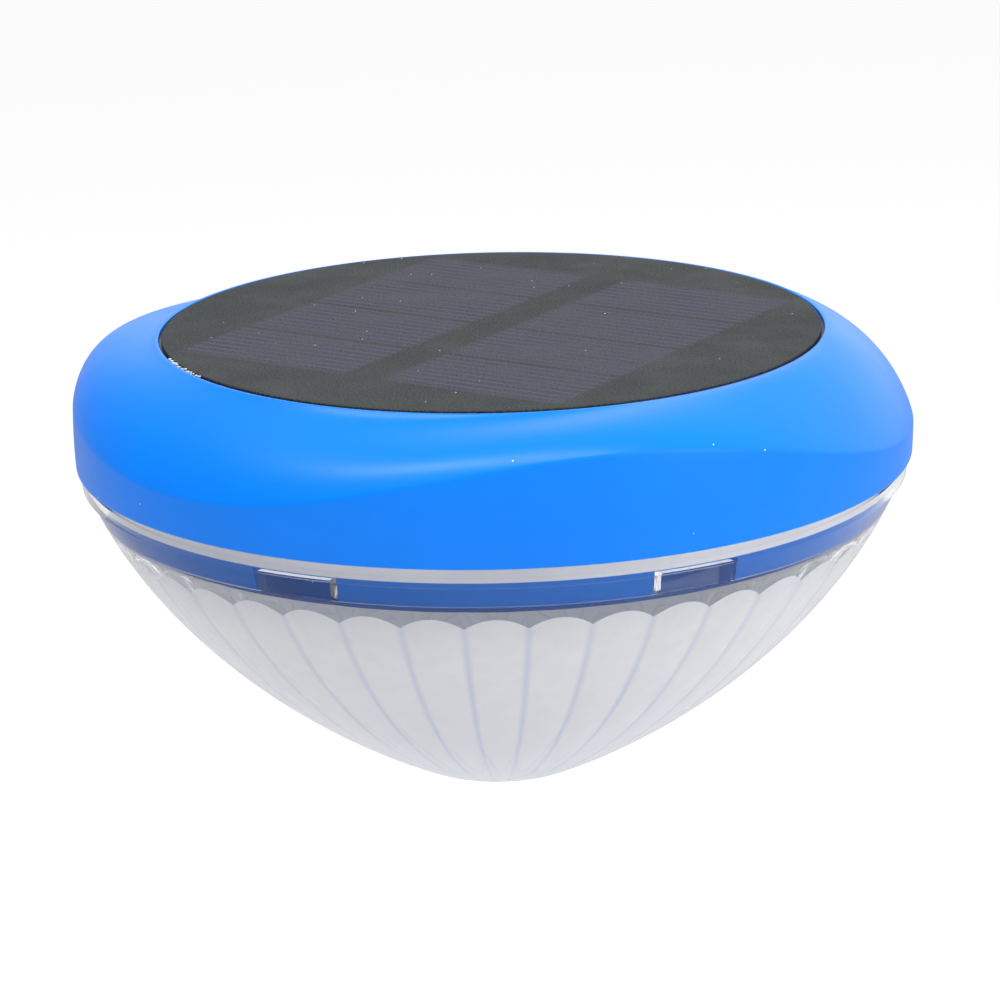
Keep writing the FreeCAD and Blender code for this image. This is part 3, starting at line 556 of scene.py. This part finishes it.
def panel_profile(degrees):
    top = fillet((PANEL_EDGE, RESIN_FOOT), (PANEL_EDGE, 0.0), (PANEL_EDGE - 2.0, 0.0), 0.22)
    face = [(PANEL_EDGE - 2.0, 0.0), (40.0, 0.0), (20.0, 0.0), (EDGE, 0.0)]
    underside = [(EDGE, UNDER_RESIN), (RESIN_WALL, UNDER_RESIN)]
    return top + face + underside + [(RESIN_WALL, RESIN_FOOT), (PANEL_EDGE, RESIN_FOOT)]


resin_disc = lathe("panel_resin_disc", range(0, 360, 1), panel_profile, panel_resin, "float", 30.0)
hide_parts("panel_encapsulant")

posts = [
    post(f"float_boss_{index}", spot(56.8, 0.0, degrees), 3.45, 5.0, 31.0, blue, "float")
    for index, degrees in enumerate((45, 135, 225, 315))
]
for piece in [shell] + posts:
    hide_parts("top_housing")


def glue_bits():
    """Small blobs of cured glue that stand out of the gap at the front left of the panel."""
    chance = random.Random(7)
    vertices, faces = [], []
    rings, sides = 5, 8
    for index in range(26):
        degrees = -71.0 + index * 0.55 + chance.uniform(-0.5, 0.5)
        centre = spot(64.35 + chance.uniform(-0.15, 0.3), chance.uniform(0.1, 0.5), degrees)
        size = [chance.uniform(0.18, 0.5) * MM for _ in range(2)] + [chance.uniform(0.1, 0.22) * MM]
        first = len(vertices)
        for ring in range(rings + 1):
            tilt = math.pi * (ring + 0.08) / (rings + 0.16)
            for side in range(sides):
                angle = 2 * math.pi * side / sides
                swell = 1.0 + chance.uniform(-0.18, 0.18)
                offset = (math.sin(tilt) * math.cos(angle), math.sin(tilt) * math.sin(angle), math.cos(tilt))
                vertices.append(centre + Vector(tuple(o * r * swell for o, r in zip(offset, size))))
        for ring in range(rings):
            for side in range(sides):
                a, b = first + ring * sides + side, first + ring * sides + (side + 1) % sides
                faces.append((a, b, b + sides, a + sides))
        faces.append(tuple(range(first, first + sides))[::-1])
        faces.append(tuple(range(first + rings * sides, first + (rings + 1) * sides)))
    material = moulded("cured_glue", (0.5, 0.54, 0.56), 0.35)
    bits = new_mesh("glue_bits", vertices, faces, material, "float", 60.0)


glue_bits()

# ---- Stage, light and camera ---------------------------------------------------------------------


def stage_material():
    """White, but greyer where something mirrors it, which draws the edges of the clear bowl."""
    look = Look("pale_stage", (0.93, 0.93, 0.93), 0.9)
    path = look.node("ShaderNodeLightPath")
    mirrored = look.math("MULTIPLY", path.outputs["Is Glossy Ray"], path.outputs["Is Reflection Ray"])
    look.link(look.mix(mirrored, (0.93, 0.93, 0.93), (0.66, 0.67, 0.69)), look.shader.inputs["Base Color"])
    look.link(look.mix(mirrored, (1.0, 1.0, 1.0), (0.4, 0.4, 0.42)), look.shader.inputs["Emission Color"])
    look.set("Emission Strength", 0.45)
    return look.material


def floor():
    half = 6.0
    below = 0.35
    mesh = bpy.data.meshes.new("floor")
    level = cad_box[0][2] - below
    corners = [(-half, -half, level), (half, -half, level), (half, half, level), (-half, half, level)]
    mesh.from_pydata(corners, [], [(0, 1, 2, 3)])
    mesh.materials.append(stage_material())
    thing = bpy.data.objects.new("floor", mesh)
    bpy.context.scene.collection.objects.link(thing)


def area(name, place, size, power):
    """A rectangular light that shines on the object."""
    light = bpy.data.lights.new(name, "AREA")
    light.shape = "RECTANGLE"
    light.size, light.size_y = size
    light.energy = power
    thing = bpy.data.objects.new(name, light)
    thing.location = place
    thing.rotation_euler = (-Vector(place)).to_track_quat("-Z", "Y").to_euler()
    bpy.context.scene.collection.objects.link(thing)


floor()
world = bpy.data.worlds.new("studio")
bpy.context.scene.world = world
world.use_nodes = True
studio = world.node_tree
direction = studio.nodes.new("ShaderNodeTexCoord")
parts = studio.nodes.new("ShaderNodeSeparateXYZ")
studio.links.new(direction.outputs["Generated"], parts.inputs[0])


def studio_range(value, low, high, out_low, out_high):
    made = studio.nodes.new("ShaderNodeMapRange")
    set_range(made, low, high, out_low, out_high)
    studio.links.new(value, made.inputs["Value"])
    return made.outputs["Result"]


def studio_product(a, b):
    made = studio.nodes.new("ShaderNodeMath")
    made.operation = "MULTIPLY"
    studio.links.new(a, made.inputs[0])
    studio.links.new(b, made.inputs[1])
    return made.outputs["Value"]


front_to_back = studio_range(parts.outputs[1], -0.5, 0.4, 0.62, 1.2)
left_to_right = studio_range(parts.outputs[0], -0.85, 0.0, 0.12, 1.0)
level_to_overhead = studio_range(parts.outputs[2], 0.3, 0.9, 1.0, 0.55)
strength = studio_product(studio_product(front_to_back, left_to_right), level_to_overhead)
background = studio.nodes["Background"]
background.inputs["Color"].default_value = (1.0, 1.0, 1.0, 1.0)
studio.links.new(strength, background.inputs["Strength"])
area("overhead", (-0.12, -0.25, 0.92), (1.15, 0.18), 11.0)
area("right_box", (1.0, -0.7, 0.45), (0.6, 0.9), 4.5)

ELEVATION = math.radians(16.492)
AZIMUTH = math.radians(0.209)
YAW = math.radians(-0.074)
PITCH = math.radians(0.041)
ROLL = math.radians(1.265)
DISTANCE = 730.209 * MM
aim = Vector((0.0, 0.0, PANEL_FACE - 35.0 * MM))
right = Vector((math.cos(AZIMUTH), math.sin(AZIMUTH), 0.0))
level = Vector((math.sin(AZIMUTH), -math.cos(AZIMUTH), 0.0))
away = level * math.cos(ELEVATION) + Vector((0.0, 0.0, math.sin(ELEVATION)))
up = away.cross(right)
yawed = away * math.cos(YAW) + right * math.sin(YAW)
yawed_right = right * math.cos(YAW) - away * math.sin(YAW)
backward = yawed * math.cos(PITCH) + up * math.sin(PITCH)
pitched_up = up * math.cos(PITCH) - yawed * math.sin(PITCH)
rolled_right = yawed_right * math.cos(ROLL) - pitched_up * math.sin(ROLL)
rolled_up = yawed_right * math.sin(ROLL) + pitched_up * math.cos(ROLL)
camera_data = bpy.data.cameras.new("camera")
camera_data.sensor_width = 36.0
camera_data.lens = 133.34
camera_data.clip_start = 0.01
camera = bpy.data.objects.new("camera", camera_data)
bpy.context.scene.collection.objects.link(camera)
turn = Matrix((rolled_right, rolled_up, backward)).transposed().to_4x4()
camera.matrix_world = Matrix.Translation(aim + away * DISTANCE) @ turn
bpy.context.scene.camera = camera
bpy.context.scene.view_settings.view_transform = "Standard"
